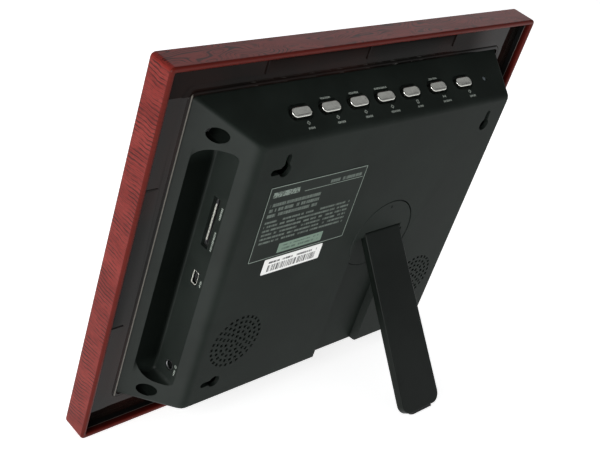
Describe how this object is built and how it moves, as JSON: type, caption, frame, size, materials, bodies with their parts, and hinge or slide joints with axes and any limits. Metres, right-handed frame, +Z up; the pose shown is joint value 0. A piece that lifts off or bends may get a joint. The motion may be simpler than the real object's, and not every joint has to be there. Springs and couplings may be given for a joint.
{
  "type": "digital photo frame",
  "caption": "Free-standing wood-look digital photo frame with a rear electronics housing, side ports, top push buttons and a turning fold-out stand leg.",
  "frame": {"origin": "on the surface the frame stands on, under the middle of its bounding box, leaning back on its open leg", "axes": "+Z up, +X to the viewer's right seen from the picture side, +Y towards the back, where the leg stands"},
  "size_m": [0.27, 0.11, 0.2154],
  "materials": {
    "wood_film": "glossy printed wood-grain film over a moulded frame, red-brown",
    "clear_glass": "clear, polished",
    "mat_card": "ivory mat board",
    "bare_steel": "plain zinc-plated sheet and screws",
    "dark_screen": "dark LCD polariser, satin",
    "circuit_board": "green solder mask",
    "chip_plastic": "black moulded epoxy",
    "cable_film": "amber film",
    "gloss_black": "mirror-gloss black moulding",
    "matt_black": "fine-spark-textured black moulding",
    "leg_black": "smooth satin black moulding",
    "silver_cap": "bright silver plating over plastic",
    "lamp_plastic": "smoky clear",
    "label_print": "pale grey print on black",
    "label_paper": "white self-adhesive paper with black bars",
    "foam_ring": "soft black foam",
    "foot_rubber": "matt black rubber"
  },
  "bodies": {
    "frame": {"back_panel": "gloss_black", "board_screw_1": "bare_steel", "board_screw_2": "bare_steel", "board_screw_3": "bare_steel", "board_screw_4": "bare_steel", "button_board": "circuit_board", "button_board_screw_1": "bare_steel", "button_board_screw_2": "bare_steel", "card_socket": "bare_steel", "chassis_plate": "bare_steel", "chassis_screw_1": "bare_steel", "chassis_screw_2": "bare_steel", "chassis_screw_3": "bare_steel", "chassis_screw_4": "bare_steel", "code_sticker": "label_paper", "flat_cable": "cable_film", "front_glass": "clear_glass", "housing_screw_1": "bare_steel", "housing_screw_2": "bare_steel", "inverter_board": "circuit_board", "inverter_coil": "chip_plastic", "lcd_cell": "dark_screen", "lcd_frame": "bare_steel", "main_board": "circuit_board", "mat_border": "mat_card", "memory_chip": "chip_plastic", "power_socket": "chip_plastic", "processor": "chip_plastic", "rating_label": "label_print", "rear_housing": "matt_black", "speaker_gasket_plain_side": "foam_ring", "speaker_gasket_port_side": "foam_ring", "speaker_plain_side": "chip_plastic", "speaker_port_side": "chip_plastic", "status_lamp": "lamp_plastic", "switch_1": "chip_plastic", "switch_2": "chip_plastic", "switch_3": "chip_plastic", "switch_4": "chip_plastic", "switch_5": "chip_plastic", "switch_6": "chip_plastic", "switch_7": "chip_plastic", "usb_socket": "bare_steel", "wood_frame": "wood_film"},
    "turntable": {"turntable_disc": "matt_black", "turntable_washer": "bare_steel", "turntable_screw": "bare_steel", "hinge_pin": "bare_steel"},
    "leg": {"stand_leg": "leg_black", "leg_foot_pad": "foot_rubber"},
    "button_1_body": {"button_1": "silver_cap"},
    "button_2_body": {"button_2": "silver_cap"},
    "button_3_body": {"button_3": "silver_cap"},
    "button_4_body": {"button_4": "silver_cap"},
    "button_5_body": {"button_5": "silver_cap"},
    "button_6_body": {"button_6": "silver_cap"},
    "button_7_body": {"button_7": "silver_cap"}
  },
  "joints": [
    {"name": "turntable_turn", "type": "hinge", "parent": "frame", "child": "turntable", "pos_m": [-0.031, 0.01252, 0.09452], "axis": [0, 0.9511, -0.309], "range_deg": [0, 90]},
    {"name": "leg_fold", "type": "hinge", "parent": "turntable", "child": "leg", "pos_m": [-0.031, 0.01153, 0.09695], "axis": [1, 0, 0], "range_deg": [-41.5, 0]},
    {"name": "button_1_press", "type": "slide", "parent": "frame", "child": "button_1_body", "axis": [0, -0.7288, -0.6847], "range_m": [0, 0.0008], "stiffness_N_per_m": 600},
    {"name": "button_2_press", "type": "slide", "parent": "frame", "child": "button_2_body", "axis": [0, -0.7288, -0.6847], "range_m": [0, 0.0008], "stiffness_N_per_m": 600},
    {"name": "button_3_press", "type": "slide", "parent": "frame", "child": "button_3_body", "axis": [0, -0.7288, -0.6847], "range_m": [0, 0.0008], "stiffness_N_per_m": 600},
    {"name": "button_4_press", "type": "slide", "parent": "frame", "child": "button_4_body", "axis": [0, -0.7288, -0.6847], "range_m": [0, 0.0008], "stiffness_N_per_m": 600},
    {"name": "button_5_press", "type": "slide", "parent": "frame", "child": "button_5_body", "axis": [0, -0.7288, -0.6847], "range_m": [0, 0.0008], "stiffness_N_per_m": 600},
    {"name": "button_6_press", "type": "slide", "parent": "frame", "child": "button_6_body", "axis": [0, -0.7288, -0.6847], "range_m": [0, 0.0008], "stiffness_N_per_m": 600},
    {"name": "button_7_press", "type": "slide", "parent": "frame", "child": "button_7_body", "axis": [0, -0.7288, -0.6847], "range_m": [0, 0.0008], "stiffness_N_per_m": 600}
  ]
}
